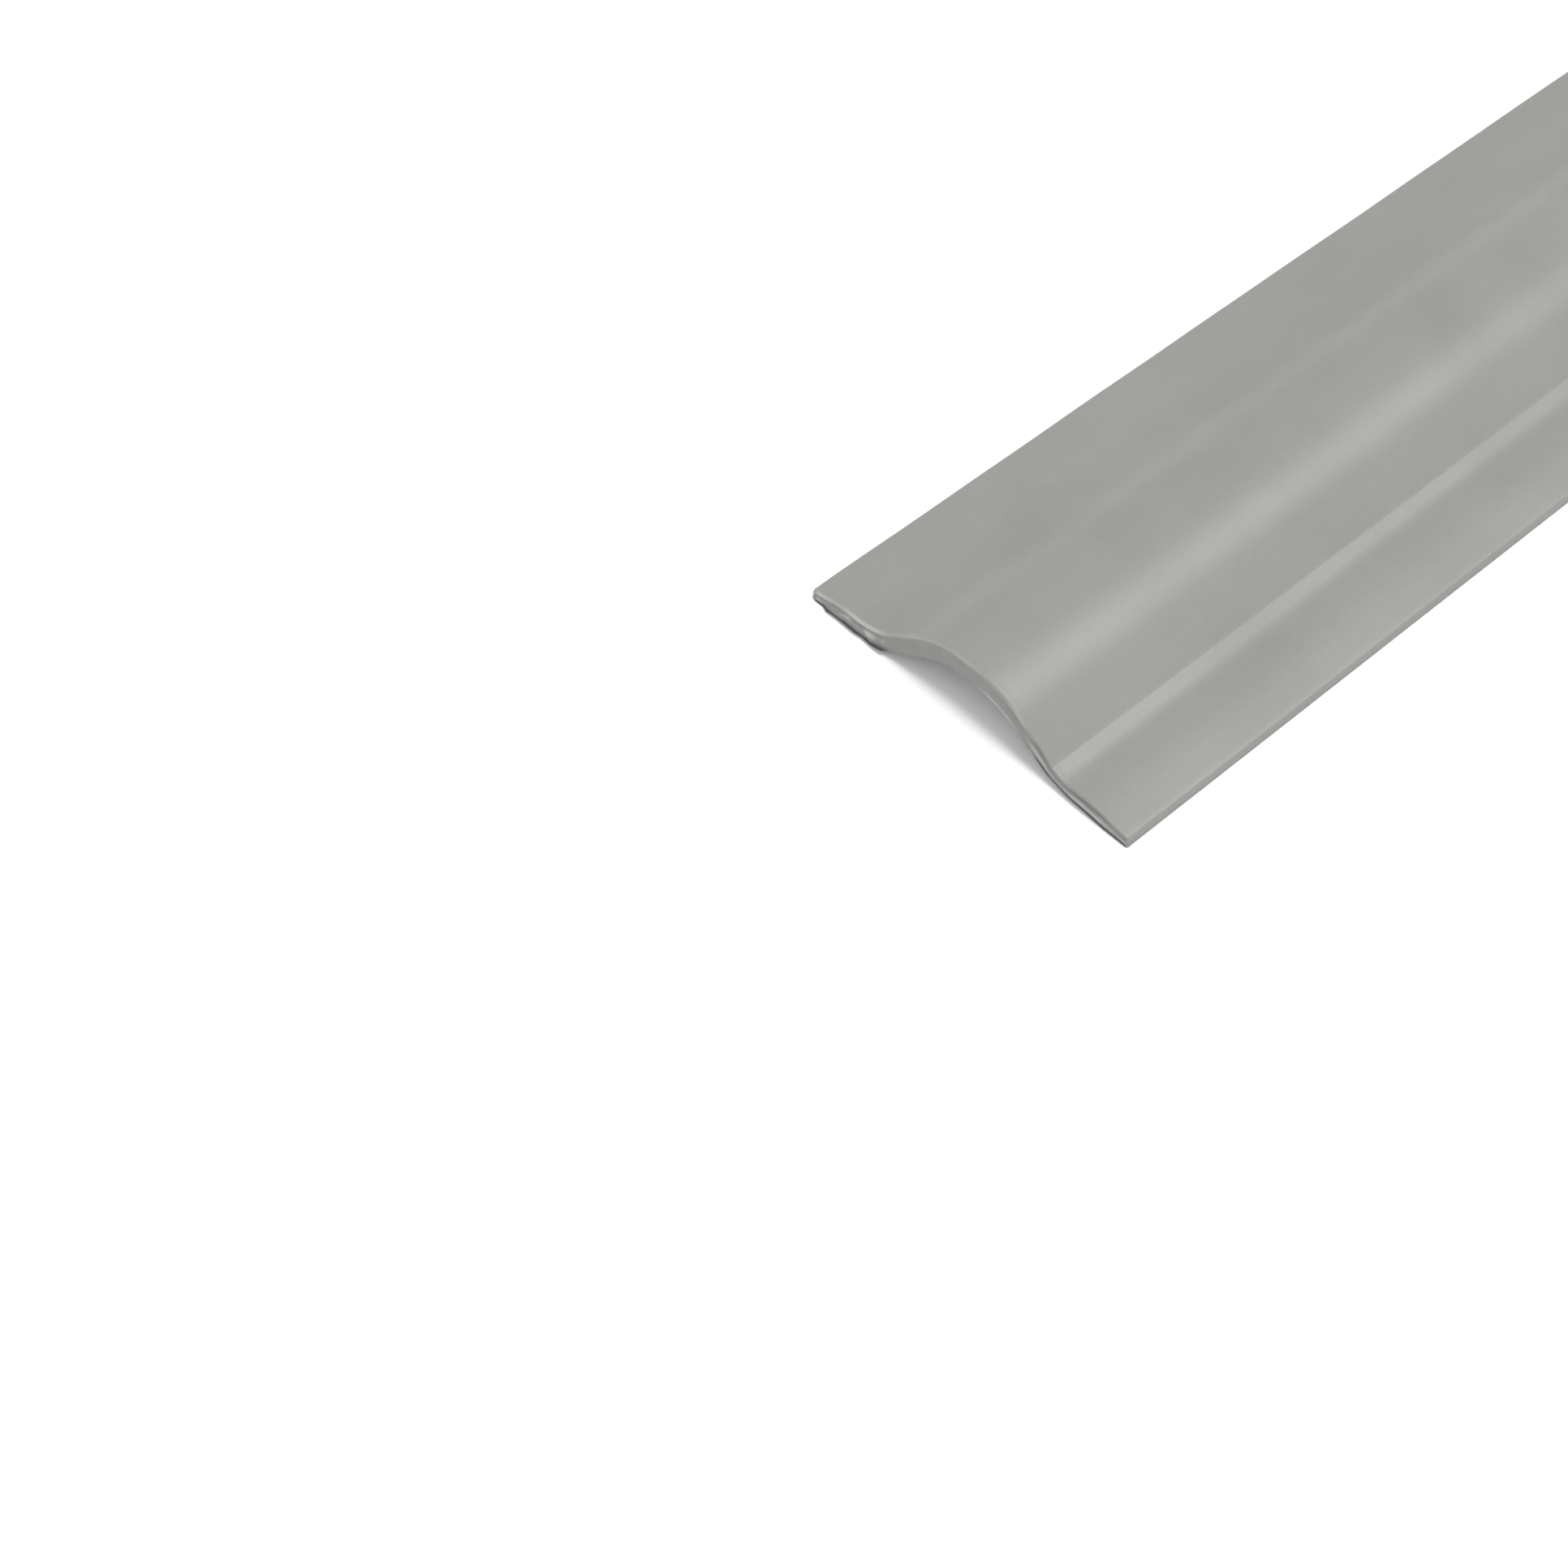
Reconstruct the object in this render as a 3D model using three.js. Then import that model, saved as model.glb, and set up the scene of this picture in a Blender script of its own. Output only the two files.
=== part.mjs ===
// Floor cord cover: one extruded strip of soft grey PVC, lying on the floor with its open channel down.
// +X runs along the strip, +Y across it and +Z up. The origin is on the floor, at the middle of the
// strip's length and width. Lengths are in millimetres and angles in degrees.

import * as THREE from "three";

// Strip
const stripLength = 1000;
const stripWidth = 38;
const stripHeight = 7.1;

// Hump over the channel: two sloping walls under a rounded crest, thinner towards their feet
const humpWidth = 20.8;
const slopeAngle = 36.5;
const crestWall = 2.1;
const footWall = 1.6;
const crestRadius = 9;

// Foot: the gentler strip between the crease at the bottom of a wall and the top of its flange
const footWidth = 1.22;
const footAngle = 22;
const footRadius = 4;

// Channel: the rounding where the walls' inner faces meet the floor
const mouthRadius = 4;

// Flanges: flat beside the hump, thinning towards the outer edge
const flangeThickness = 1.7;
const edgeThickness = 0.9;
const taperWidth = 3.6;
const taperRadius = 18;
const edgeTopRadius = 0.35;
const edgeBottomRadius = 0.2;

// Facets in each rounded corner, and the most of a side that its two corners' roundings may use
const cornerFacets = 8;
const roundingShare = 0.98;

// Soft PVC, matt to satin
const pvcColor = new THREE.Color().setRGB(160 / 255, 160 / 255, 157 / 255, THREE.SRGBColorSpace);
const pvcRoughness = 0.5;

// A corner of the section: y across the strip, z up, and the radius that rounds it
function corner(y, z, radius = 0) {
  return { point: new THREE.Vector2(y, z), radius };
}

// The corners on the +Y half of the section, from the crest round the edge and back to the channel's ceiling
function halfSection() {
  const slope = THREE.MathUtils.degToRad(slopeAngle);
  const creaseZ = flangeThickness + footWidth * Math.tan(THREE.MathUtils.degToRad(footAngle));
  const crease = new THREE.Vector2(humpWidth / 2, creaseZ);
  const shoulder = new THREE.Vector2(crease.x - (stripHeight - creaseZ) / Math.tan(slope), stripHeight);

  const inwards = new THREE.Vector2(-Math.sin(slope), -Math.cos(slope));
  const innerFoot = crease.clone().addScaledVector(inwards, footWall);
  const innerShoulder = shoulder.clone().addScaledVector(inwards, crestWall);
  const ceilingZ = stripHeight - crestWall;
  const innerRun = (innerFoot.x - innerShoulder.x) / (innerShoulder.y - innerFoot.y);
  const mouthY = innerFoot.x + innerFoot.y * innerRun;
  const ceilingY = mouthY - ceilingZ * innerRun;

  const edgeY = stripWidth / 2;
  return [
    corner(shoulder.x, shoulder.y, crestRadius),
    corner(crease.x, crease.y),
    corner(crease.x + footWidth, flangeThickness, footRadius),
    corner(edgeY - taperWidth, flangeThickness, taperRadius),
    corner(edgeY, edgeThickness, edgeTopRadius),
    corner(edgeY, 0, edgeBottomRadius),
    corner(mouthY, 0, mouthRadius),
    corner(ceilingY, ceilingZ, crestRadius - crestWall),
  ];
}

// The whole section: the +Y half, then its mirror image in reverse order
function wholeSection() {
  const half = halfSection();
  const mirrored = half.map(({ point, radius }) => corner(-point.x, point.y, radius)).reverse();
  return [...half, ...mirrored];
}

// Half the angle by which the outline turns at a corner
function halfTurn(before, at, after) {
  const arriving = at.point.clone().sub(before.point);
  const leaving = after.point.clone().sub(at.point);
  return Math.abs(arriving.angleTo(leaving)) / 2;
}

// How far each rounding reaches along its two sides, shortened where two roundings share a short side
function roundingReaches(corners) {
  const count = corners.length;
  const wanted = corners.map((at, i) => {
    return at.radius * Math.tan(halfTurn(corners.at(i - 1), at, corners[(i + 1) % count]));
  });
  return wanted.map((reach, i) => {
    const fits = [corners.at(i - 1), corners[(i + 1) % count]].map((other, side) => {
      const otherReach = side === 0 ? wanted.at(i - 1) : wanted[(i + 1) % count];
      const room = roundingShare * corners[i].point.distanceTo(other.point);
      return room / Math.max(room, reach + otherReach);
    });
    return reach * Math.min(...fits);
  });
}

// The points of one corner: the corner itself, or an arc tangent to both its sides
function cornerPoints(before, at, after, reach) {
  if (reach === 0) {
    return [at.point];
  }
  const towardsBefore = before.point.clone().sub(at.point).normalize();
  const towardsAfter = after.point.clone().sub(at.point).normalize();
  const turn = halfTurn(before, at, after);
  const radius = reach / Math.tan(turn);
  const toCentre = towardsBefore.clone().add(towardsAfter).normalize();
  const centre = at.point.clone().addScaledVector(toCentre, radius / Math.cos(turn));
  const start = at.point.clone().addScaledVector(towardsBefore, reach);
  const sense = Math.sign(towardsAfter.cross(towardsBefore));
  return Array.from({ length: cornerFacets + 1 }, (_, i) => {
    return start.clone().rotateAround(centre, (sense * 2 * turn * i) / cornerFacets);
  });
}

function sectionShape() {
  const corners = wholeSection();
  const reaches = roundingReaches(corners);
  const points = corners.flatMap((at, i) => {
    return cornerPoints(corners.at(i - 1), at, corners[(i + 1) % corners.length], reaches[i]);
  });
  return new THREE.Shape(points);
}

// The strip: the section drawn across and up, extruded along X
function buildCover() {
  const geometry = new THREE.ExtrudeGeometry(sectionShape(), {
    depth: stripLength,
    bevelEnabled: false,
  });
  const material = new THREE.MeshStandardMaterial({ color: pvcColor, roughness: pvcRoughness, metalness: 0 });
  const cover = new THREE.Mesh(geometry, material);
  cover.name = "cord_cover";

  const across = new THREE.Vector3(0, 1, 0);
  const up = new THREE.Vector3(0, 0, 1);
  const along = new THREE.Vector3(1, 0, 0);
  cover.quaternion.setFromRotationMatrix(new THREE.Matrix4().makeBasis(across, up, along));
  cover.position.x = -stripLength / 2;
  return cover;
}

const floorCordCover = new THREE.Group();
floorCordCover.name = "floor_cord_cover";
floorCordCover.add(buildCover());

export default floorCordCover;
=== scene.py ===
"""Looks of the floor cord cover: one strip of soft grey PVC lying on a pale studio floor."""

import logging
import math
from dataclasses import dataclass
from enum import Enum

import bpy
import numpy as np
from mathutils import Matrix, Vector

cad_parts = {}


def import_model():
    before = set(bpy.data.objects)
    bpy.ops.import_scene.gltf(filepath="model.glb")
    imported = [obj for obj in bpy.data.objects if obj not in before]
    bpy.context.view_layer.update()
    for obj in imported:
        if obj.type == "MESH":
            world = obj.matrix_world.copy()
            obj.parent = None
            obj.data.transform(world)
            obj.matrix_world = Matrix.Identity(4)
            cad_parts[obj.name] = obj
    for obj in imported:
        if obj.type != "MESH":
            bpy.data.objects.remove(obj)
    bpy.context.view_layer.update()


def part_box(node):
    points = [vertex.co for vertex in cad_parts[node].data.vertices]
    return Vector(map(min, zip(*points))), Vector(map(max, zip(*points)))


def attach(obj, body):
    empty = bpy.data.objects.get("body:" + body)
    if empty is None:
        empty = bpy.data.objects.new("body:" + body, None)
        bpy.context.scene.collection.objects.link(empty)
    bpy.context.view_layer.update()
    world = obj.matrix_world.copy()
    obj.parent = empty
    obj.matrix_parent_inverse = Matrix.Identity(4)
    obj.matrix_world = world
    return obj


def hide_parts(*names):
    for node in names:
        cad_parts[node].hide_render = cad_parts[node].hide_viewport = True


MM = 0.001
LOG = logging.getLogger("floor_cord_cover")

Point = tuple[float, float]
Range = tuple[float, float]
Scale = tuple[float, float, float]
Colour = tuple[float, float, float]
Face = tuple[int, ...]


class Graph:
    """The node tree of a material or a world, emptied and ready to be built."""

    def __init__(self, tree: bpy.types.NodeTree) -> None:
        """Takes the tree over and clears it."""
        self.tree = tree
        tree.nodes.clear()

    def node(
        self,
        kind: str,
        settings: dict[str, object] | None = None,
        inputs: dict[str | int, object] | None = None,
    ) -> bpy.types.Node:
        """Adds one node.

        Args:
            kind: The node's type, such as ShaderNodeTexNoise.
            settings: The node's own properties, which are set first.
            inputs: Values or signals for its sockets, by name or by index.

        Returns:
            The new node.
        """
        made = self.tree.nodes.new(kind)
        for name, value in (settings or {}).items():
            setattr(made, name, value)
        for key, value in (inputs or {}).items():
            if isinstance(value, Signal):
                self.tree.links.new(value.socket, made.inputs[key])
            else:
                made.inputs[key].default_value = value
        return made

    def signal(
        self,
        kind: str,
        settings: dict[str, object] | None = None,
        inputs: dict[str | int, object] | None = None,
        output: str | int = 0,
    ) -> "Signal":
        """Adds one node and gives one of its outputs.

        Args:
            kind: The node's type.
            settings: The node's own properties.
            inputs: Values or signals for its sockets.
            output: The output wanted, by name or by index.

        Returns:
            That output as a signal.
        """
        return Signal(self, self.node(kind, settings, inputs).outputs[output])

    def mix_colours(self, factor: object, first: object, second: object) -> "Signal":
        """Mixes two colours.

        Args:
            factor: The share of the second colour, a number or a signal.
            first: A colour or a signal.
            second: A colour or a signal.

        Returns:
            The mixed colour.
        """
        return self.signal("ShaderNodeMix", {"data_type": "RGBA"}, {0: factor, 6: first, 7: second}, 2)

    def stretched(self, place: "Signal", scale: Scale) -> "Signal":
        """Scales a place by a different number along each axis."""
        return self.signal("ShaderNodeVectorMath", {"operation": "MULTIPLY"}, {0: place, 1: scale})

    def noise(self, place: "Signal", scale: float = 1.0, detail: float = 2.0) -> "Signal":
        """Adds a noise pattern.

        Args:
            place: Where the noise is read.
            scale: How many features there are to a metre.
            detail: How many finer layers are added.

        Returns:
            A value around 0.5.
        """
        inputs = {"Vector": place, "Scale": scale, "Detail": detail}
        return self.signal("ShaderNodeTexNoise", {"noise_dimensions": "3D"}, inputs, "Fac")


class Signal:
    """One shader socket, whose arithmetic adds Math nodes."""

    def __init__(self, graph: Graph, socket: bpy.types.NodeSocket) -> None:
        """Wraps a socket of the graph."""
        self.graph = graph
        self.socket = socket

    def _math(self, operation: str, first: object, second: object) -> "Signal":
        """Adds a Math node with two operands."""
        return self.graph.signal("ShaderNodeMath", {"operation": operation}, {0: first, 1: second})

    def __add__(self, other: object) -> "Signal":
        """Adds a value or a signal."""
        return self._math("ADD", self, other)

    def __sub__(self, other: object) -> "Signal":
        """Subtracts a value or a signal."""
        return self._math("SUBTRACT", self, other)

    def __mul__(self, other: object) -> "Signal":
        """Multiplies by a value or a signal."""
        return self._math("MULTIPLY", self, other)

    def size(self) -> "Signal":
        """Gives the value without its sign."""
        return self._math("ABSOLUTE", self, 0.0)

    def ramp(self, low: float, high: float) -> "Signal":
        """Rises smoothly from 0 at one value to 1 at another.

        Args:
            low: The value that gives 0.
            high: The value that gives 1, which may be below the first.

        Returns:
            The share between them.
        """
        settings = {"interpolation_type": "SMOOTHSTEP"}
        return self.graph.signal("ShaderNodeMapRange", settings, {"Value": self, 1: low, 2: high})


class Lines(Enum):
    """Which way the fine lines in a surface run, as the finish's scale along X, Y and Z."""

    ALONG_STRIP = (1.0, 400.0, 400.0)
    ACROSS_CUT = (60.0, 400.0, 12.0)


@dataclass(frozen=True)
class SoftPvc:
    """Soft PVC, matt to satin, with the marks that its die or the knife left, and light and shade painted
    at the cut.

    Mottling, specks and streaks darken or lighten the colour by the shade range at most. The scuffs
    are hairlines where a stretched noise passes its mean, in patches where a second noise is high. The
    roughness varies in patches a little larger than the mottling. The mesh's marks pale the colour into
    painted highlight and painted light at the cut, and darken it into painted shade and shadow; flakes
    of random tone on the cut go both ways.
    """

    name: str
    colour: Colour
    lines: Lines
    shade_range: float = 0.2
    mottle: float = 0.2
    mottle_size: float = 11 * MM
    speckle: float = 0.09
    speckle_size: float = 0.35 * MM
    streak: float = 0.04
    roughness: float = 0.43
    patch_roughness: float = 0.12
    patch_scale: float = 0.6
    line_roughness: float = 0.10
    scuff_roughness: float = 0.12
    grain_size: float = 0.22 * MM
    grain_height: float = 0.0020 * MM
    peel_size: float = 2.8 * MM
    peel_height: float = 0.013 * MM
    line_spacing: float = 0.7 * MM
    line_height: float = 0.0025 * MM
    scuff: float = 0.05
    scuff_stretch: Scale = (90.0, 260.0, 260.0)
    scuff_width: float = 0.006
    scuff_patches: float = 70.0
    scuff_patch_edge: Range = (0.56, 0.68)
    # Pale for the scuffs' wear and for the painted highlight at the cut; dark for the painted shade and
    # shadow at the cut
    pale: Colour = (0.50, 0.495, 0.48)
    dark: Colour = (0.035, 0.035, 0.034)
    light_and_flake_share: float = 0.9
    refraction: float = 1.52

    def material(self) -> bpy.types.Material:
        """Builds the finish as a material.

        Returns:
            The material, whose colour also shows the painted highlight and shade at the cut.
        """
        made = bpy.data.materials.new(self.name)
        made.use_nodes = True
        graph = Graph(made.node_tree)
        place = graph.signal("ShaderNodeTexCoord", output="Object")
        scuffs = self._scuffs(graph, place)
        lines = graph.noise(graph.stretched(place, self._line_scale()), detail=3.0)
        inputs = {
            "Base Color": self._colour(graph, place, scuffs, lines),
            "Roughness": self._roughness(graph, place, scuffs, lines),
            "Normal": self._normal(graph, place, lines),
            "IOR": self.refraction,
        }
        shader = graph.signal("ShaderNodeBsdfPrincipled", inputs=inputs)
        graph.node("ShaderNodeOutputMaterial", inputs={"Surface": shader})
        return made

    def _line_scale(self) -> Scale:
        """Gives the scale of the fine lines along each axis, in features to a metre."""
        return tuple(axis / max(self.lines.value) / self.line_spacing for axis in self.lines.value)

    def _scuffs(self, graph: Graph, place: Signal) -> Signal:
        """Draws sparse hairline scuffs.

        Args:
            graph: The material's graph.
            place: Object coordinates.

        Returns:
            1 on a scuff and 0 elsewhere.
        """
        bent = graph.noise(graph.stretched(place, self.scuff_stretch), detail=1.0)
        line = (bent - 0.5).size().ramp(self.scuff_width, 0.0)
        patch = graph.noise(place, scale=self.scuff_patches).ramp(*self.scuff_patch_edge)
        return line * patch

    def _colour(self, graph: Graph, place: Signal, scuffs: Signal, lines: Signal) -> Signal:
        """Varies the base colour by mottling, specks, faint lines and scuffs, and paints light and shade
        at the cut.

        Args:
            graph: The material's graph.
            place: Object coordinates.
            scuffs: Where the scuffs are.
            lines: The fine line pattern.

        Returns:
            The colour.
        """
        broad = graph.noise(place, scale=1 / self.mottle_size, detail=3.0) - 0.5
        fine = graph.noise(place, scale=1 / self.speckle_size, detail=1.0) - 0.5
        shade = broad * self.mottle + fine * self.speckle + (lines - 0.5) * self.streak
        darker = tuple(channel * (1 - self.shade_range) for channel in self.colour) + (1.0,)
        lighter = tuple(channel * (1 + self.shade_range) for channel in self.colour) + (1.0,)
        base = graph.mix_colours(shade * (0.5 / self.shade_range) + 0.5, darker, lighter)
        scuffed = graph.mix_colours(scuffs * self.scuff, base, self.pale + (1.0,))
        # Painted light and shade: the mesh's marks pale the cut's rims and faces and darken its groove
        # and edges; random flakes go both ways
        knife = graph.signal("ShaderNodeAttribute", {"attribute_name": "painted_light_and_flakes"}, output="Fac")
        with_highlight_and_flakes = graph.mix_colours(knife.ramp(0.0, 1.0) * self.light_and_flake_share, scuffed, self.pale + (1.0,))
        return graph.mix_colours(knife.ramp(0.0, -1.0) * self.light_and_flake_share, with_highlight_and_flakes, self.dark + (1.0,))

    def _roughness(self, graph: Graph, place: Signal, scuffs: Signal, lines: Signal) -> Signal:
        """Varies the roughness over the surface.

        Args:
            graph: The material's graph.
            place: Object coordinates.
            scuffs: Where the scuffs are.
            lines: The fine line pattern.

        Returns:
            The roughness.
        """
        broad = graph.noise(place, scale=self.patch_scale / self.mottle_size) - 0.5
        fine = (lines - 0.5) * self.line_roughness + scuffs * self.scuff_roughness
        return broad * self.patch_roughness + fine + self.roughness

    def _normal(self, graph: Graph, place: Signal, lines: Signal) -> Signal:
        """Adds the grain, the fine lines and the soft unevenness of the skin as bump.

        Args:
            graph: The material's graph.
            place: Object coordinates.
            lines: The fine line pattern.

        Returns:
            The normal.
        """
        grain = graph.noise(place, scale=1 / self.grain_size) * (self.grain_height / MM)
        peel = graph.noise(place, scale=1 / self.peel_size, detail=1.0) * (self.peel_height / MM)
        inputs = {
            "Strength": 1.0,
            "Distance": MM,
            "Height": grain + peel + lines * (self.line_height / MM),
        }
        return graph.signal("ShaderNodeBump", inputs=inputs)


DIE_SKIN = SoftPvc("soft_pvc_skin", (0.2478, 0.2423, 0.2298), Lines.ALONG_STRIP)
UNDERSIDE_SKIN = SoftPvc(
    "soft_pvc_underside",
    (0.235, 0.232, 0.222),
    Lines.ALONG_STRIP,
    roughness=0.58,
    line_height=0.004 * MM,
    scuff=0.12,
)
KNIFE_CUT = SoftPvc(
    "soft_pvc_knife_cut",
    (0.229, 0.226, 0.218),
    Lines.ACROSS_CUT,
    roughness=0.62,
    mottle_size=1.5 * MM,
    grain_height=0.004 * MM,
    line_spacing=0.4 * MM,
    line_height=0.010 * MM,
    scuff=0.0,
)


def eased(values: np.ndarray, low: float, high: float) -> np.ndarray:
    """Rises smoothly from 0 at one value to 1 at another.

    Args:
        values: Where the rise is read.
        low: The value that gives 0.
        high: The value that gives 1, which may be below the first.

    Returns:
        The shares between them.
    """
    share = np.clip((values - low) / (high - low), 0.0, 1.0)
    return share * share * (3 - 2 * share)


@dataclass(frozen=True)
class Corner:
    """A corner of the section, and the radius that rounds it."""

    y: float
    z: float
    radius: float = 0.0


@dataclass(frozen=True)
class HalfSection:
    """One half of the section: half the hump over the channel, and the thin flange beside it.

    The hump's wall runs from the crest down a slope to the crease, where a shallow foot leads out to the
    flange, which tapers to its edge.
    """

    half_width: float
    height: float
    crease_y: float
    foot_wall: float
    foot_width: float
    edge_thickness: float
    tip_radius: float
    slope: float = math.radians(36.5)
    crest_wall: float = 2.2 * MM
    shoulder_wall: float = 2.15 * MM
    crest_radius: float = 9 * MM
    crease_radius: float = 0.25 * MM
    foot_angle: float = math.radians(22)
    foot_radius: float = 4 * MM
    mouth_radius: float = 4 * MM
    flange_thickness: float = 1.7 * MM
    taper_width: float = 3.6 * MM
    taper_radius: float = 18 * MM
    edge_top_radius: float = 0.55 * MM
    edge_bottom_radius: float = 0.2 * MM
    straight_step: float = 0.6 * MM
    straight_share: float = 0.25
    arc_step: float = math.radians(5)
    fine_arc_step: float = math.radians(1)

    @property
    def crease_z(self) -> float:
        """Gives the height of the crease between the hump and its foot."""
        return self.flange_thickness + self.foot_width * math.tan(self.foot_angle)

    @property
    def shoulder_y(self) -> float:
        """Gives where the sloping wall's line meets the level of the crest."""
        return self.crease_y - (self.height - self.crease_z) / math.tan(self.slope)

    def outside(self) -> list[Corner]:
        """Lists the outer corners.

        Returns:
            The corners, from the crest's middle to the middle of the flange's edge.
        """
        return [
            Corner(0.0, self.height),
            Corner(self.shoulder_y, self.height, self.crest_radius),
            Corner(self.crease_y, self.crease_z, self.crease_radius),
            Corner(self.crease_y + self.foot_width, self.flange_thickness, self.foot_radius),
            Corner(self.half_width - self.taper_width, self.flange_thickness, self.taper_radius),
            Corner(self.half_width, self.edge_thickness, self.edge_top_radius),
            Corner(self.half_width, self.edge_thickness * 0.5),
        ]

    def inside(self) -> list[Corner]:
        """Lists the inner corners, a wall's thickness from the outer ones.

        Returns:
            The corners, from the ceiling's middle to the middle of the flange's edge.
        """
        sin, cos = math.sin(self.slope), math.cos(self.slope)
        foot_y = self.crease_y - self.foot_wall * sin
        foot_z = self.crease_z - self.foot_wall * cos
        top_y = self.shoulder_y - self.shoulder_wall * sin
        top_z = self.height - self.shoulder_wall * cos
        run = (foot_y - top_y) / (top_z - foot_z)
        mouth_y = foot_y + foot_z * run
        ceiling_z = self.height - self.crest_wall
        return [
            Corner(0.0, ceiling_z),
            Corner(mouth_y - ceiling_z * run, ceiling_z, self.crest_radius - self.crest_wall),
            Corner(mouth_y, 0.0, self.mouth_radius),
            Corner(self.half_width, 0.0, self.edge_bottom_radius),
            Corner(self.half_width, self.edge_thickness * 0.5),
        ]

    def sampled(self, corners: list[Corner], samples: int) -> np.ndarray:
        """Samples a line through corners, closer where it turns.

        Args:
            corners: The corners, from the middle outwards.
            samples: The samples wanted.

        Returns:
            The samples, each as y and z.
        """
        points = [(corners[0].y, corners[0].z)]
        for before, at, after in zip(corners, corners[1:], corners[2:]):
            points += self._arc(before, at, after)
        points.append((corners[-1].y, corners[-1].z))
        line = self._with_steps(points)
        ahead = np.diff(line, axis=0)
        length = np.hypot(*ahead.T)
        heading = np.unwrap(np.arctan2(ahead[:, 1], ahead[:, 0]))
        turning = np.abs(np.diff(heading, prepend=heading[0]))
        steps = length / self.straight_step + turning / self.arc_step
        worth = np.concatenate([[0.0], np.cumsum(steps)])
        wanted = np.linspace(0.0, worth[-1], samples)
        return np.column_stack([np.interp(wanted, worth, line[:, axis]) for axis in (0, 1)])

    def _arc(self, before: Corner, at: Corner, after: Corner) -> list[Point]:
        """Rounds one corner.

        Args:
            before: The corner before it.
            at: The corner itself.
            after: The corner after it.

        Returns:
            The points of its arc.
        """
        middle = np.array([at.y, at.z])
        back = np.array([before.y, before.z]) - middle
        ahead = np.array([after.y, after.z]) - middle
        back /= np.linalg.norm(back)
        ahead /= np.linalg.norm(ahead)
        turn = math.pi - math.acos(float(np.clip(back @ ahead, -1.0, 1.0)))
        bisector = (back + ahead) / np.linalg.norm(back + ahead)
        centre = middle + bisector * at.radius / math.cos(turn / 2)
        start = middle + back * at.radius * math.tan(turn / 2) - centre
        sense = math.copysign(1.0, float(ahead[0] * back[1] - ahead[1] * back[0]))
        steps = max(2, math.ceil(turn / self.fine_arc_step))
        arc = []
        for angle in np.linspace(0.0, sense * turn, steps + 1):
            cos, sin = math.cos(angle), math.sin(angle)
            turned = np.array([start[0] * cos - start[1] * sin, start[0] * sin + start[1] * cos])
            arc.append(tuple(centre + turned))
        return arc

    def _with_steps(self, points: list[Point]) -> np.ndarray:
        """Adds points on the long straight stretches.

        Args:
            points: The line's points.

        Returns:
            The points with the added ones between them.
        """
        stepped = [points[0]]
        for start, end in zip(points, points[1:]):
            count = max(1, math.ceil(math.dist(start, end) / (self.straight_step * self.straight_share)))
            ahead = np.array(end) - start
            stepped += [tuple(np.array(start) + ahead * step / count) for step in range(1, count + 1)]
        return np.array(stepped)


@dataclass(frozen=True)
class Waves:
    """Smooth waves over the strip: plane waves with seeded lengths, headings and phases, added up."""

    height: float
    shortest: float
    longest: float
    seed: int
    heading_spread: float = math.radians(35)
    count: int = 7

    def at(self, x: float, y: np.ndarray) -> np.ndarray:
        """Gives the waves' height.

        Args:
            x: The place along the strip.
            y: Places across it.

        Returns:
            Heights that never pass plus or minus the waves' own height.
        """
        rng = np.random.default_rng(self.seed)
        lengths = np.exp(rng.uniform(math.log(self.shortest), math.log(self.longest), self.count))
        headings = rng.uniform(-self.heading_spread, self.heading_spread, self.count)
        phases = rng.uniform(0.0, 2 * math.pi, self.count)
        total = np.zeros(np.broadcast(x, y).shape)
        for length, heading, phase in zip(lengths, headings, phases):
            along = x * math.cos(heading) + y * math.sin(heading)
            total += length * np.cos(2 * math.pi * along / length + phase)
        return self.height * total / lengths.sum()


class Side(Enum):
    """The strip's two long sides, by the sign of Y."""

    LEFT = 1
    RIGHT = -1


class End(Enum):
    """The strip's two cut ends, by the sign of X."""

    NEAR = -1
    FAR = 1


class Slot(Enum):
    """The mesh's material slots, in the order of the strip's finishes."""

    SKIN = 0
    UNDERSIDE = 1
    CUT = 2


@dataclass(frozen=True)
class Curl:
    """A place where a flange doesn't lie quite flat at one of the cut ends.

    It fades across the flange from the foot and towards the edge, and along the strip over its reach.
    """

    end: End
    side: Side
    height: float
    reach: float = 14 * MM
    from_foot: Range = (8 * MM, 12 * MM)
    to_edge: Range = (18.8 * MM, 16 * MM)
    underside: Range = (1.4 * MM, 0.3 * MM)
    top_share: float = 1.0

    def at(self, x: float, y: np.ndarray, z: np.ndarray, from_end: float) -> np.ndarray:
        """Gives how far the flange is off the floor.

        Args:
            x: The place along the strip.
            y: Places across it.
            z: Their heights, as the top may follow the underside only in part.
            from_end: How far that is from the nearer end.

        Returns:
            The heights.
        """
        if x * self.end.value < 0:
            return np.zeros(len(y))
        outwards = y * self.side.value
        share = eased(outwards, *self.from_foot) * eased(outwards, *self.to_edge)
        follows = self.top_share + (1 - self.top_share) * eased(z, *self.underside)
        return self.height * share * follows * math.exp(-from_end / self.reach)


@dataclass(frozen=True)
class Band:
    """A mark with soft sides, up the cut or across it."""

    centre: float
    width: float
    strength: float

    def at(self, places: np.ndarray) -> np.ndarray:
        """Gives how strong the mark is at each place."""
        return self.strength * np.exp(-(((places - self.centre) / self.width) ** 2))


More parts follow.
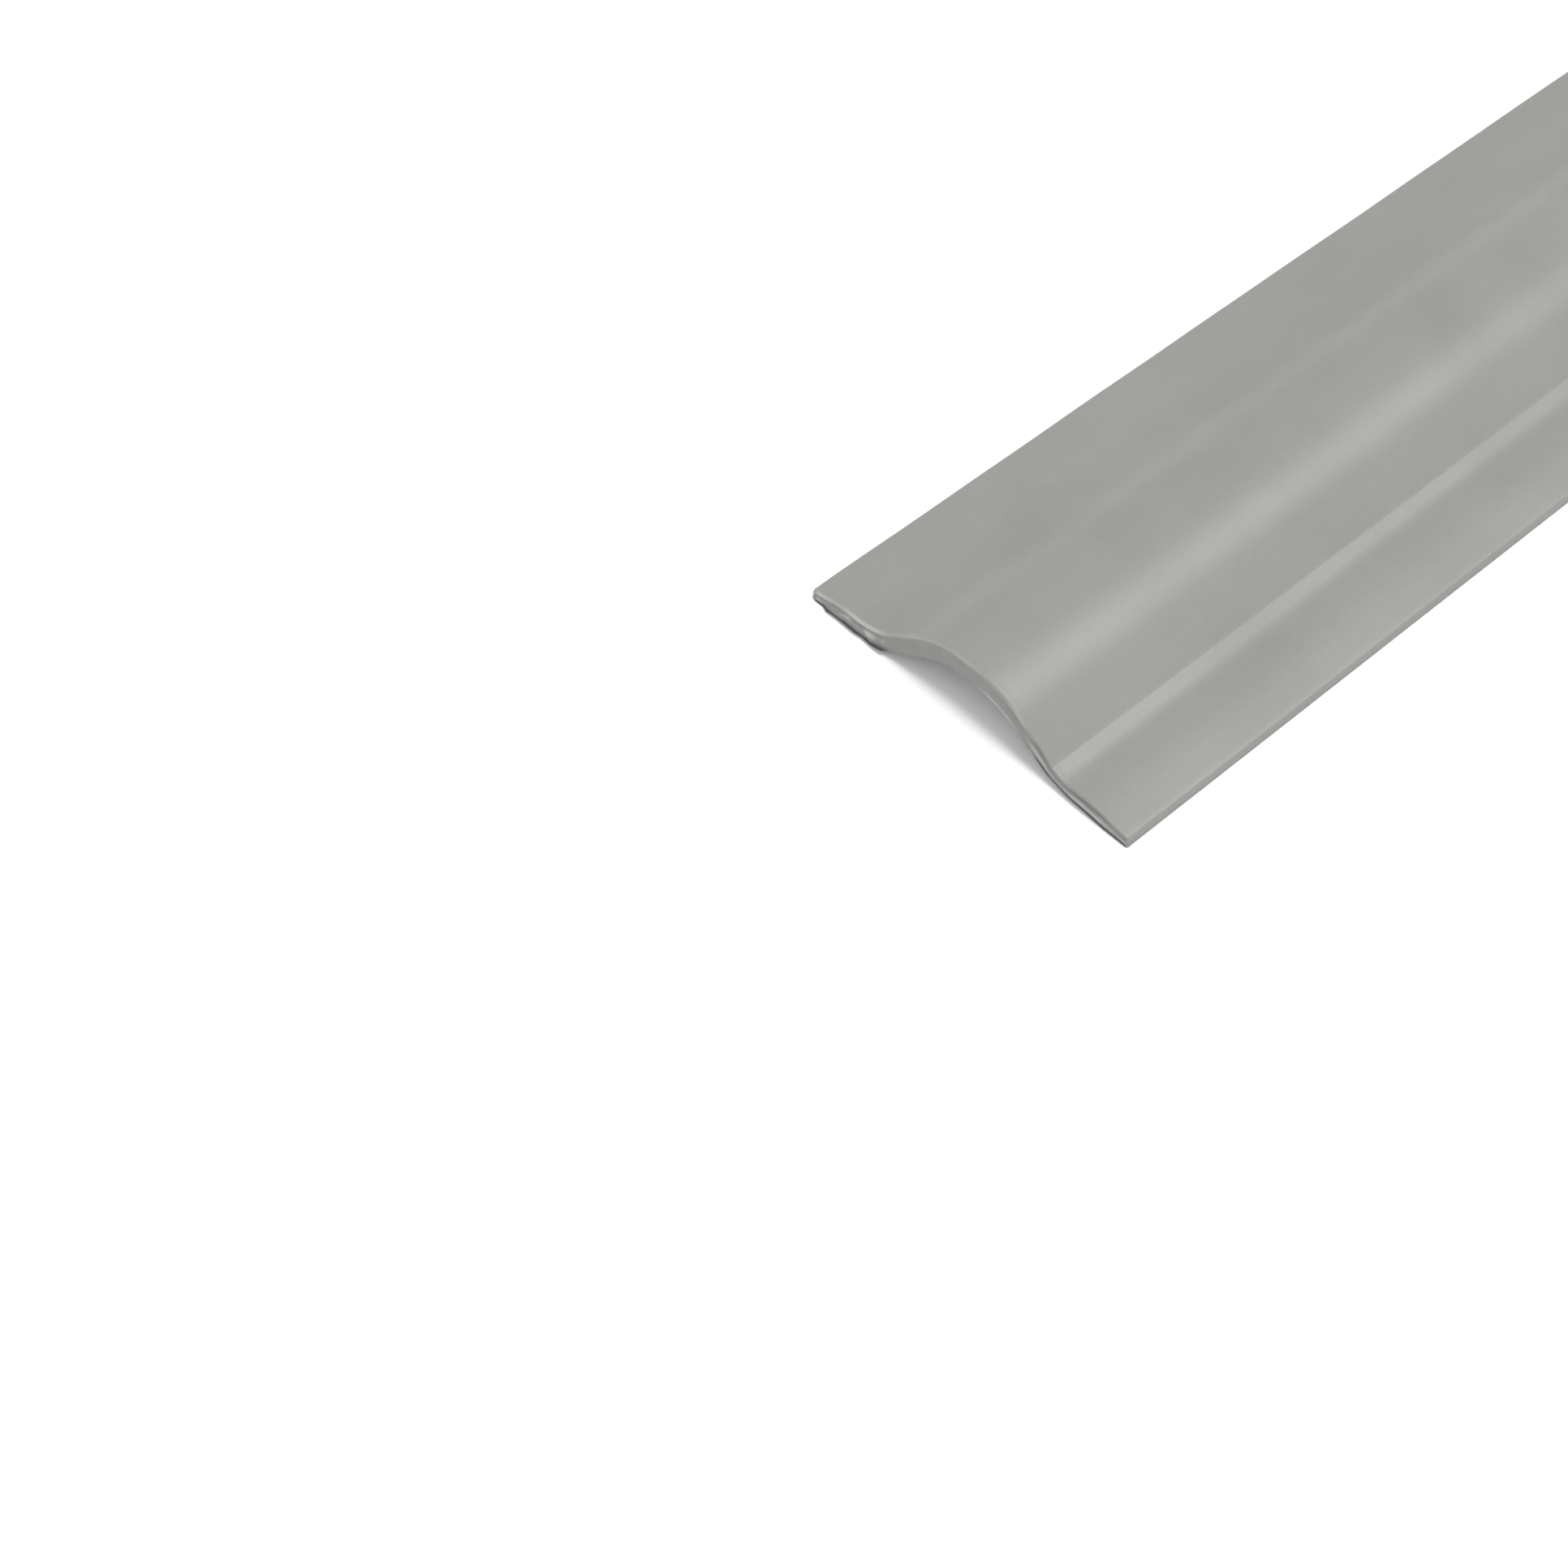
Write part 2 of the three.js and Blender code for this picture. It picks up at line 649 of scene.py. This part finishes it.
@dataclass(frozen=True)
class Knife:
    """The knife that cut the strip to length, what it left on the cut, and the light and shade painted
    there.

    Heights on the cut go from 0 at the underside to 1 at the top. The relief is how deep each row
    lies, in millimetres. Marks above 0 pale the colour: painted highlight along the rims, and painted
    light in the middle of the left flange's and the right part's faces. Marks below 0 darken it: painted
    shade in the groove, along the right part's top edge and across the hump's face, and painted shadow
    along the flanges' lower edges. Flakes of random tone on the left flange go both ways.
    """

    # The rows of points up the cut
    rows: tuple[float, ...] = (0.0, 0.07, 0.22, 0.42, 0.60, 0.74, 0.81, 0.88, 0.94, 1.0)
    relief: tuple[float, ...] = (0.0, 0.045, 0.02, 0.0, 0.01, 0.08, 0.09, 0.03, 0.0, 0.0)
    # Painted highlight, painted light and painted shade on the cut, and how high on the cut they are
    rim_highlight: float = 1.1
    hump_rim_highlight: float = 0.5
    rim: Range = (0.88, 0.98)
    groove_shade: Band = Band(0.76, 0.09, 0.3)
    hump_groove_shade: float = 0.2
    left_face_light: Band = Band(0.47, 0.2, 1.0)
    right_face_light: Band = Band(0.47, 0.2, 1.15)
    top_edge_shade: Band = Band(1.0, 0.1, 0.85)
    right_sole_shadow: float = 2.6
    left_sole_shadow: float = 3.0
    sole: Range = (0.28, 0.10)
    flake_bottom: Range = (0.1, 0.3)
    flake_top: Range = (0.85, 0.7)
    # Where the painted highlight, shade and shadow come and go across the strip
    lower_rim_highlight: Band = Band(-3.5 * MM, 2.2 * MM, 1.6)
    shade: Band = Band(-4.5 * MM, 2 * MM, 0.15)
    right_part: Range = (-6 * MM, -9 * MM)
    flanges: Range = (8.5 * MM, 11 * MM)
    left_sole: Range = (9.2 * MM, 10 * MM)
    right_sole: Range = (-7.5 * MM, -9.5 * MM)
    left_tip: Range = (0.1 * MM, 0.8 * MM)
    right_tip: Range = (0.02 * MM, 0.2 * MM)
    # How far the cut stands out at the flanges, and over which width it gets there
    ahead_left: float = 0.06 * MM
    ahead_right: float = 0.17 * MM
    ahead_left_rise: Range = (8 * MM, 12 * MM)
    ahead_right_rise: Range = (-8 * MM, -14 * MM)
    # Torn lips along the lower edge
    torn: tuple[Range, ...] = ((9.7 * MM, 11.8 * MM), (12.4 * MM, 17.0 * MM))
    torn_ramp: float = 0.15 * MM
    torn_reach: float = 0.40 * MM
    torn_share: tuple[float, ...] = (0.0, 1.0, 0.4, 0.0, 0.0, 0.0, 0.0, 0.0, 0.0, 0.0)
    # How unevenly the blade went, and how uneven the painted highlight and shade are, as shares of the
    # marks, the relief and the lips
    marks_drag: float = 0.38
    relief_drag: float = 0.4
    torn_drag: float = 0.2
    drag: Waves = Waves(1.0, 1.5 * MM, 9 * MM, seed=41, heading_spread=math.pi)
    flakes: Waves = Waves(1.2, 0.9 * MM, 2.5 * MM, seed=53, heading_spread=math.pi)

    def marks(self, grid: np.ndarray) -> np.ndarray:
        """Gives how far the colour is paled (above 0) or darkened (below 0) over the section.

        Args:
            grid: The section's rows of points, each as y and z.

        Returns:
            One mark for each point: painted highlight along the rims on the left and the hump, painted
                light
            in the middle of the faces, painted shade and shadow along the right part's top and the lower
            edges, and flakes of random tone on the left flange.
        """
        y = grid[..., 0]
        up = np.array(self.rows)[:, None]
        right = eased(y, *self.right_part)
        flange = eased(np.abs(y), *self.flanges)
        left_flange = flange * (y > 0)
        left_sole = eased(y, *self.left_sole)
        # Painted highlight: a pale line along the cut's top rim, weaker on the hump and left out on the
        # right part
        rim_highlight = self.rim_highlight * (self.hump_rim_highlight + (1 - self.hump_rim_highlight) * flange)
        rim = eased(up, *self.rim) * rim_highlight * (1 - right)
        # Painted shade: the groove below the top rim darkened, weaker on the hump and left out on the
        # right part
        groove_share = self.hump_groove_shade + (1 - self.hump_groove_shade) * left_flange
        groove_shade = self.groove_shade.at(up) * groove_share * (1 - right)
        # Painted light: the middle of the cut face paled on the left flange and on the right part
        face_light = self.left_face_light.at(up) * left_flange + self.right_face_light.at(up) * right
        # Painted shadow: the flanges' lower edges and torn lips darkened as if the gap under them were in
        # shade
        sole_shadow = self.left_sole_shadow * left_sole + self.right_sole_shadow * eased(y, *self.right_sole)
        # Painted highlight: the hump's lower rim paled to the right of the middle
        sole = eased(up, *self.sole) * (self.lower_rim_highlight.at(y) - sole_shadow)
        # Painted shade: a dark line along the right part's top edge, and a darker band across the hump's
        # face right of the middle
        lines = rim + face_light + sole - groove_shade - self.top_edge_shade.at(up) * right - self.shade.at(y)
        drag = 1 - self.marks_drag + self.marks_drag * self.drag.at(0.0, y)
        flaky = left_sole * eased(up, *self.flake_bottom) * eased(up, *self.flake_top)
        flakes = self.flakes.at(grid[..., 1], y) * flaky
        tips = eased(y.max() - y, *self.left_tip) * eased(y - y.min(), *self.right_tip)
        return (lines * drag + flakes) * tips

    def ahead(self, y: np.ndarray) -> np.ndarray:
        """Gives how far the cut stands out at the flanges, ahead of its middle."""
        left, right = eased(y, *self.ahead_left_rise), eased(y, *self.ahead_right_rise)
        return self.ahead_left * left + self.ahead_right * right

    def recess(self, row: int, y: float) -> float:
        """Gives how deep the cut lies behind the strip's end.

        Args:
            row: The row of the section's grid.
            y: The place across the strip.

        Returns:
            The depth, which is below 0 where a torn lip stands out.
        """
        place = np.array([y])
        ramp = self.torn_ramp
        lip = 0.0
        for start, end in self.torn:
            lips = eased(place, start - ramp, start + ramp) * eased(place, end + ramp, end - ramp)
            lip += float(lips[0])
        drag = float(self.drag.at(0.0, place)[0])
        depth = self.relief[row] * MM * (1 - self.relief_drag + self.relief_drag * drag)
        reach = self.torn_share[row] * self.torn_reach * lip
        return depth - reach * (1 - self.torn_drag + self.torn_drag * drag)


NEAR_KNIFE = Knife()
FAR_KNIFE = Knife(
    rim_highlight=0.9,
    top_edge_shade=Band(1.0, 0.1, 0.3),
    right_sole_shadow=0.8,
    left_sole_shadow=1.2,
    ahead_left=0.12 * MM,
    ahead_right=0.03 * MM,
    torn=((-15.8 * MM, -13.1 * MM),),
    torn_reach=0.22 * MM,
    drag=Waves(1.0, 1.5 * MM, 9 * MM, seed=43, heading_spread=math.pi),
    flakes=Waves(0.7, 0.9 * MM, 2.5 * MM, seed=59, heading_spread=math.pi),
)


@dataclass(frozen=True)
class CordCover:
    """The strip itself: soft, so never quite flat or straight, with a knife cut at each end.

    The rooms keep the waves and the torn lips inside the frame's box. Behind the cut's rounded rim the
    skin is slightly swollen. The place of that swelling and the reach of the cut's painted highlight and
    shade onto the skin are in rim radii, the rings nearest to the cut in millimetres.
    """

    low: Vector
    high: Vector
    finishes: tuple[SoftPvc, SoftPvc, SoftPvc] = (DIE_SKIN, UNDERSIDE_SKIN, KNIFE_CUT)
    knives: tuple[Knife, Knife] = (NEAR_KNIFE, FAR_KNIFE)
    half_samples: int = 54
    end_room: float = 0.45 * MM
    side_room: float = 0.05 * MM
    top_room: float = 0.12 * MM
    rim_radius: float = 0.16 * MM
    rim_angles: tuple[float, ...] = (0.0, 30.0, 60.0, 90.0)
    swelling: float = 0.03 * MM
    swelling_place: float = 2.2
    marks_reach: float = 2.4
    near_rings: tuple[float, ...] = (0.24, 0.36, 0.55, 0.8, 1.3)
    fine_start: float = 2.2 * MM
    fine_spacing: float = 1.7 * MM
    fine_reach: float = 125 * MM
    coarse_rings: int = 74
    flanges: Range = (9 * MM, 18 * MM)
    skin_fade: Range = (0.0, 0.5 * MM)
    cut_fade: float = 1.0 * MM
    skin: Waves = Waves(0.09 * MM, 13 * MM, 55 * MM, seed=11, heading_spread=math.radians(55))
    lift: Waves = Waves(0.02 * MM, 50 * MM, 190 * MM, seed=23)
    sway: Waves = Waves(0.015 * MM, 90 * MM, 300 * MM, seed=5)
    cut: Waves = Waves(0.05 * MM, 3 * MM, 18 * MM, seed=31, heading_spread=math.pi)
    curls: tuple[Curl, ...] = (
        Curl(End.NEAR, Side.LEFT, 0.10 * MM),
        Curl(
            End.NEAR,
            Side.LEFT,
            -0.18 * MM,
            reach=2 * MM,
            from_foot=(15.2 * MM, 17.8 * MM),
            to_edge=(30 * MM, 25 * MM),
        ),
        Curl(
            End.NEAR,
            Side.RIGHT,
            0.34 * MM,
            from_foot=(7.5 * MM, 11 * MM),
            to_edge=(16.4 * MM, 13.2 * MM),
            top_share=0.1,
        ),
        Curl(End.FAR, Side.LEFT, 0.10 * MM),
        Curl(End.FAR, Side.RIGHT, 0.22 * MM),
    )

    def half(self, side: Side) -> HalfSection:
        """Gives one half of the section, a little inside the frame's box so that the waves have room.

        Args:
            side: Which half.

        Returns:
            The half: the left one runs out softly, the right one has a crisp foot and a thinner wall.
        """
        half_width = (self.high.y - self.low.y) / 2 - self.side_room
        height = self.high.z - self.low.z - self.top_room
        if side is Side.LEFT:
            return HalfSection(
                half_width,
                height,
                crease_y=10.06 * MM,
                foot_wall=1.95 * MM,
                foot_width=2.32 * MM,
                edge_thickness=1.25 * MM,
                tip_radius=0.4 * MM,
                shoulder_wall=2.4 * MM,
                crest_radius=9.5 * MM,
                crease_radius=7.4 * MM,
                foot_angle=math.radians(18),
                foot_radius=7.4 * MM,
            )
        return HalfSection(
            half_width,
            height,
            crease_y=9.97 * MM,
            foot_wall=1.3 * MM,
            foot_width=1.4 * MM,
            edge_thickness=0.93 * MM,
            tip_radius=0.15 * MM,
            slope=math.radians(38.5),
            mouth_radius=7 * MM,
            flange_thickness=1.6 * MM,
            taper_width=3.8 * MM,
        )

    def grid(self) -> np.ndarray:
        """Lays rows of points over the section, from the underside up to the top.

        Returns:
            Rows of points from the right edge to the left edge, each as y and z.
        """
        sides = []
        for side in (Side.RIGHT, Side.LEFT):
            half = self.half(side)
            outlines = (half.inside(), half.outside())
            lines = [half.sampled(corners, self.half_samples) for corners in outlines]
            sides.append(np.array(lines) * (side.value, 1.0))
        low, high = np.concatenate([sides[0][:, :0:-1], sides[1]], axis=1)
        return np.array([low + (high - low) * row for row in self.knives[0].rows])

    def stations(self) -> np.ndarray:
        """Lists how far from an end the mesh has its rings.

        Returns:
            The distances from the cut to the strip's middle, close together at the cut.
        """
        rim = self.rim_radius * (1 - np.cos(np.radians(self.rim_angles)))
        near = np.array(self.near_rings) * MM
        fine = np.arange(self.fine_start, self.fine_reach, self.fine_spacing)
        half = (self.high.x - self.low.x) / 2 - self.end_room
        coarse = np.linspace(fine[-1], half, self.coarse_rings)[1:]
        return np.concatenate([rim, near, fine, coarse])

    def build(self) -> bpy.types.Object:
        """Builds the strip's mesh and dresses it.

        Returns:
            The strip, in place.
        """
        grid = self.grid()
        edge = self._perimeter(grid)
        inward = self._inward(edge)
        near_half = self.stations()
        far_half = near_half[-2::-1]
        from_end = np.concatenate([near_half, far_half])
        near_places = self.low.x + self.end_room + near_half
        far_places = self.high.x - self.end_room - far_half
        places = np.concatenate([near_places, far_places])
        points = [point for x, end in zip(places, from_end) for point in self._ring(edge, inward, x, end)]
        # The cut's painted highlight and shade, carried a little way onto the skin behind the rim
        cut_marks = [knife.marks(grid) for knife in self.knives]
        rim_marks = [self._perimeter(end_marks) for end_marks in cut_marks]
        marks = []
        for x, end in zip(places, from_end):
            share = max(0.0, 1 - end / (self.marks_reach * self.rim_radius))
            marks += list(rim_marks[int(x > 0)] * share)
        faces, slots = self._side_faces(len(places), len(edge), grid.shape[1])
        first_points = (0, (len(places) - 1) * len(edge))
        for knife, end_marks, first in zip(self.knives, cut_marks, first_points):
            cut_points, cut_faces = self._cut(points, first, grid.shape[:2], knife)
            points += cut_points
            marks += end_marks[1:-1, 1:-1].ravel().tolist()
            faces += cut_faces
            slots += [Slot.CUT.value] * len(cut_faces)
        return self._object(points, faces, slots, marks)

    def _perimeter(self, grid: np.ndarray) -> np.ndarray:
        """Walks round a grid over the section: along the top, down the left edge, back below and up."""
        return np.concatenate([grid[-1], grid[-2:0:-1, -1], grid[0, ::-1], grid[1:-1, 0]])

    def _inward(self, edge: np.ndarray) -> np.ndarray:
        """Finds which way the section lies from its perimeter.

        Args:
            edge: The perimeter's points, each as y and z.

        Returns:
            Unit vectors from those points into the section.
        """
        along = np.roll(edge, -1, axis=0) - np.roll(edge, 1, axis=0)
        along /= np.linalg.norm(along, axis=1)[:, None]
        return np.column_stack([along[:, 1], -along[:, 0]])

    def _ring(self, edge: np.ndarray, inward: np.ndarray, x: float, end: float) -> np.ndarray:
        """Places one ring of points round the strip.

        Args:
            edge: The section's perimeter.
            inward: The vectors into the section.
            x: Where along the strip the ring stands.
            end: How far that is from the nearer end.

        Returns:
            The ring's points.
        """
        from_swelling = end - self.swelling_place * self.rim_radius
        swollen = self.swelling * math.exp(-((from_swelling / self.rim_radius) ** 2))
        moved = edge + inward * (self._rounding(end, self.rim_radius) - swollen)
        y, z = moved[:, 0], moved[:, 1]
        for side in Side:
            radius = self.half(side).tip_radius
            tip = eased(y * side.value, self.high.y - 2 * radius, self.high.y)
            y = y - side.value * tip * self._rounding(end, radius)
        flange = eased(np.abs(y), *self.flanges)
        z = z + (self.lift.at(x, y) + self.lift.height) * flange
        z = z + self.skin.at(x, y) * eased(z, *self.skin_fade)
        for curl in self.curls:
            z = z + curl.at(x, y, z, end)
        ahead = self.knives[int(x > 0)].ahead(y)
        slip = (self.cut.at(x, y) + self.cut.height - ahead) * math.exp(-end / self.cut_fade)
        x_places = x + (slip if x < 0 else -slip)
        y_places = y + self.sway.at(x, np.zeros(len(y)))
        z_places = np.clip(z, 0.0, self.high.z)
        return np.column_stack([x_places, y_places, z_places])

    def _rounding(self, end: float, radius: float) -> float:
        """Gives how far a rounded end edge has drawn in, at a distance from the end."""
        depth = max(0.0, 1 - end / radius)
        return radius * (1 - math.sqrt(1 - depth**2))

    def _side_faces(self, rings: int, count: int, across: int) -> tuple[list[Face], list[int]]:
        """Joins the rings with four-sided faces.

        Args:
            rings: How many rings there are.
            count: The points in each ring.
            across: The points on the ring's top, which come first.

        Returns:
            The faces and the material slot of each.
        """
        faces, slots = [], []
        first_below = across + len(self.knives[0].rows) - 2
        underside = range(first_below - 1, first_below + across)
        for start in range(0, (rings - 1) * count, count):
            for here in range(count):
                after = (here + 1) % count
                faces.append((start + here, start + count + here, start + count + after, start + after))
                slot = Slot.UNDERSIDE if here in underside else Slot.SKIN
                slots.append(slot.value)
        return faces, slots

    def _cut(
        self,
        points: list[np.ndarray],
        first: int,
        shape: tuple[int, int],
        knife: Knife,
    ) -> tuple[list[np.ndarray], list[Face]]:
        """Closes one end with a grid of faces between the top and the underside.

        Args:
            points: The mesh's points so far.
            first: The first point of the end's ring.
            shape: The rows and columns of the section's grid.
            knife: The knife that cut this end.

        Returns:
            The cut's own points, row by row, and its faces.
        """
        rows, columns = shape
        ring = self._ring_indices(first, rows, columns)
        inwards = 1 if first == 0 else -1
        added = []
        for row in range(1, rows - 1):
            for column in range(1, columns - 1):
                low, high = points[ring[0, column]], points[ring[-1, column]]
                point = low + (high - low) * knife.rows[row]
                point[0] += inwards * knife.recess(row, float(point[1]))
                ring[row, column] = len(points) + len(added)
                added.append(point)
        faces = []
        for row in range(rows - 1):
            for column in range(columns - 1):
                square = ring[row : row + 2, column : column + 2]
                corners = [square[0, 0], square[1, 0], square[1, 1], square[0, 1]]
                faces.append(tuple(int(corner) for corner in corners[::inwards]))
        return added, faces

    def _ring_indices(self, first: int, rows: int, columns: int) -> np.ndarray:
        """Lays the points of an end's ring round the section's grid.

        Args:
            first: The ring's first point.
            rows: The grid's rows.
            columns: The grid's columns.

        Returns:
            The grid, with each outer place holding its point's number.
        """
        index = np.zeros((rows, columns), int)
        order = np.arange(first, first + 2 * (columns + rows - 2))
        index[-1] = order[:columns]
        index[-2:0:-1, -1] = order[columns : columns + rows - 2]
        index[0, ::-1] = order[columns + rows - 2 : 2 * columns + rows - 2]
        index[1:-1, 0] = order[2 * columns + rows - 2 :]
        return index

    def _object(
        self,
        points: list[np.ndarray],
        faces: list[Face],
        slots: list[int],
        marks: list[float],
    ) -> bpy.types.Object:
        """Makes the Blender object.

        Args:
            points: The mesh's points.
            faces: Its faces.
            slots: The material slot of each face.
            marks: How far the colour is paled (above 0) or darkened (below 0) at each point: painted
                highlight and shade at the cut, with flakes of random tone.

        Returns:
            The strip, riding on the frame in place of its solid.
        """
        mesh = bpy.data.meshes.new("cord_cover_strip")
        mesh.from_pydata([tuple(point) for point in points], [], faces)
        for finish in self.finishes:
            mesh.materials.append(finish.material())
        mesh.polygons.foreach_set("material_index", slots)
        mesh.polygons.foreach_set("use_smooth", [True] * len(faces))
        # The marks hold the painted highlight and shade at the cut, and flakes of random tone
        knife = mesh.attributes.new("painted_light_and_flakes", "FLOAT", "POINT")
        knife.data.foreach_set("value", marks)
        mesh.validate()
        strip = bpy.data.objects.new("cord_cover_strip", mesh)
        bpy.context.scene.collection.objects.link(strip)
        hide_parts("cord_cover")
        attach(strip, "root")
        return strip


class LampUse(Enum):
    """What a lamp is for: the light and shade of the form, or the gloss on it."""

    FORM = "form"
    GLOSS = "gloss"


@dataclass(frozen=True)
class SoftLamp:
    """A broad lamp far away, placed by its azimuth and elevation seen from the strip, in degrees."""

    use: LampUse
    azimuth: float
    elevation: float
    strength: float
    spread: float
    colour: Colour = (0.96, 0.985, 1.01)

    @property
    def name(self) -> str:
        """Gives the lamp's name."""
        return f"{self.use.value}_lamp"

    def build(self) -> bpy.types.Object:
        """Makes the lamp.

        Returns:
            The lamp, which lights the form or gives the gloss, but not both.
        """
        light = bpy.data.lights.new(self.name, "SUN")
        light.energy = self.strength
        light.angle = math.radians(self.spread)
        light.color = self.colour
        lamp = bpy.data.objects.new(self.name, light)
        azimuth, elevation = math.radians(self.azimuth), math.radians(self.elevation)
        flat = math.cos(elevation)
        towards = Vector((flat * math.cos(azimuth), flat * math.sin(azimuth), math.sin(elevation)))
        lamp.rotation_mode = "QUATERNION"
        lamp.rotation_quaternion = towards.to_track_quat("Z", "Y")
        lamp.visible_diffuse = self.use is LampUse.FORM
        lamp.visible_glossy = self.use is LampUse.GLOSS
        bpy.context.scene.collection.objects.link(lamp)
        return lamp


@dataclass(frozen=True)
class Studio:
    """A pale floor, an even sky and soft lamps."""

    floor_reach: float = 40.0
    floor_drop: float = 0.02 * MM
    floor_colour: Colour = (0.985, 0.985, 0.98)
    sky_colour: Colour = (1.0, 1.0, 1.0)
    sky_strength: float = 0.84
    lamps: tuple[SoftLamp, ...] = (
        SoftLamp(LampUse.FORM, -90.0, 74.0, 1.61, 22.0),
        SoftLamp(LampUse.GLOSS, -36.0, 64.0, 1.72, 35.0),
    )

    def build(self) -> bpy.types.Object:
        """Makes the floor, the sky and the lamps.

        Returns:
            The floor.
        """
        reach = self.floor_reach
        mesh = bpy.data.meshes.new("studio_floor")
        corners = [(-reach, -reach), (reach, -reach), (reach, reach), (-reach, reach)]
        mesh.from_pydata([(x, y, -self.floor_drop) for x, y in corners], [], [(0, 1, 2, 3)])
        mesh.materials.append(self._floor_finish())
        floor = bpy.data.objects.new("studio_floor", mesh)
        bpy.context.scene.collection.objects.link(floor)
        self._sky()
        for lamp in self.lamps:
            lamp.build()
        return floor

    def _floor_finish(self) -> bpy.types.Material:
        """Makes the floor's matt white.

        Returns:
            The material.
        """
        made = bpy.data.materials.new("floor_matt_white")
        made.use_nodes = True
        graph = Graph(made.node_tree)
        inputs = {"Color": self.floor_colour + (1.0,), "Roughness": 1.0}
        shader = graph.signal("ShaderNodeBsdfDiffuse", inputs=inputs)
        graph.node("ShaderNodeOutputMaterial", inputs={"Surface": shader})
        return made

    def _sky(self) -> None:
        """Makes the even sky."""
        world = bpy.data.worlds.new("studio_sky")
        world.use_nodes = True
        bpy.context.scene.world = world
        graph = Graph(world.node_tree)
        inputs = {"Color": self.sky_colour + (1.0,), "Strength": self.sky_strength}
        sky = graph.signal("ShaderNodeBackground", inputs=inputs)
        graph.node("ShaderNodeOutputWorld", inputs={"Surface": sky})


@dataclass(frozen=True)
class PhotoCamera:
    """The photograph's camera, placed from the floor at the middle of the strip's near end.

    The heading is from the strip's own direction and the pitch is downwards, both in degrees.
    """

    behind: float = 123.75 * MM
    aside: float = 111.6 * MM
    height: float = 196.5 * MM
    heading: float = 47.19
    pitch: float = 50.99
    focal_pixels: float = 3740.0
    picture_pixels: float = 1932.0
    sensor_mm: float = 36.0
    nearest_shown: float = 10 * MM

    def build(self, near_end: float) -> bpy.types.Object:
        """Makes the camera and gives it to the scene.

        Args:
            near_end: The strip's near end, as a place along X.

        Returns:
            The camera.
        """
        data = bpy.data.cameras.new("photo_camera")
        data.sensor_width = self.sensor_mm
        data.lens = self.focal_pixels / self.picture_pixels * self.sensor_mm
        data.clip_start = self.nearest_shown
        camera = bpy.data.objects.new("photo_camera", data)
        camera.location = (near_end - self.behind, -self.aside, self.height)
        camera.rotation_euler = (
            math.radians(90.0 - self.pitch),
            0.0,
            math.radians(self.heading - 90.0),
        )
        bpy.context.scene.collection.objects.link(camera)
        bpy.context.scene.camera = camera
        return camera


def main() -> None:
    """Builds the strip, the studio and the camera."""
    logging.basicConfig(level=logging.INFO, format="%(name)s: %(message)s")
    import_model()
    low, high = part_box("cord_cover")
    strip = CordCover(low, high).build()
    LOG.info("%s: %d faces", strip.name, len(strip.data.polygons))
    floor = Studio().build()
    LOG.info("%s: matt white", floor.name)
    camera = PhotoCamera().build(low.x)
    LOG.info("%s: %.1f mm lens", camera.name, camera.data.lens)
    bpy.context.scene.view_settings.view_transform = "Standard"


if __name__ == "__main__":
    main()
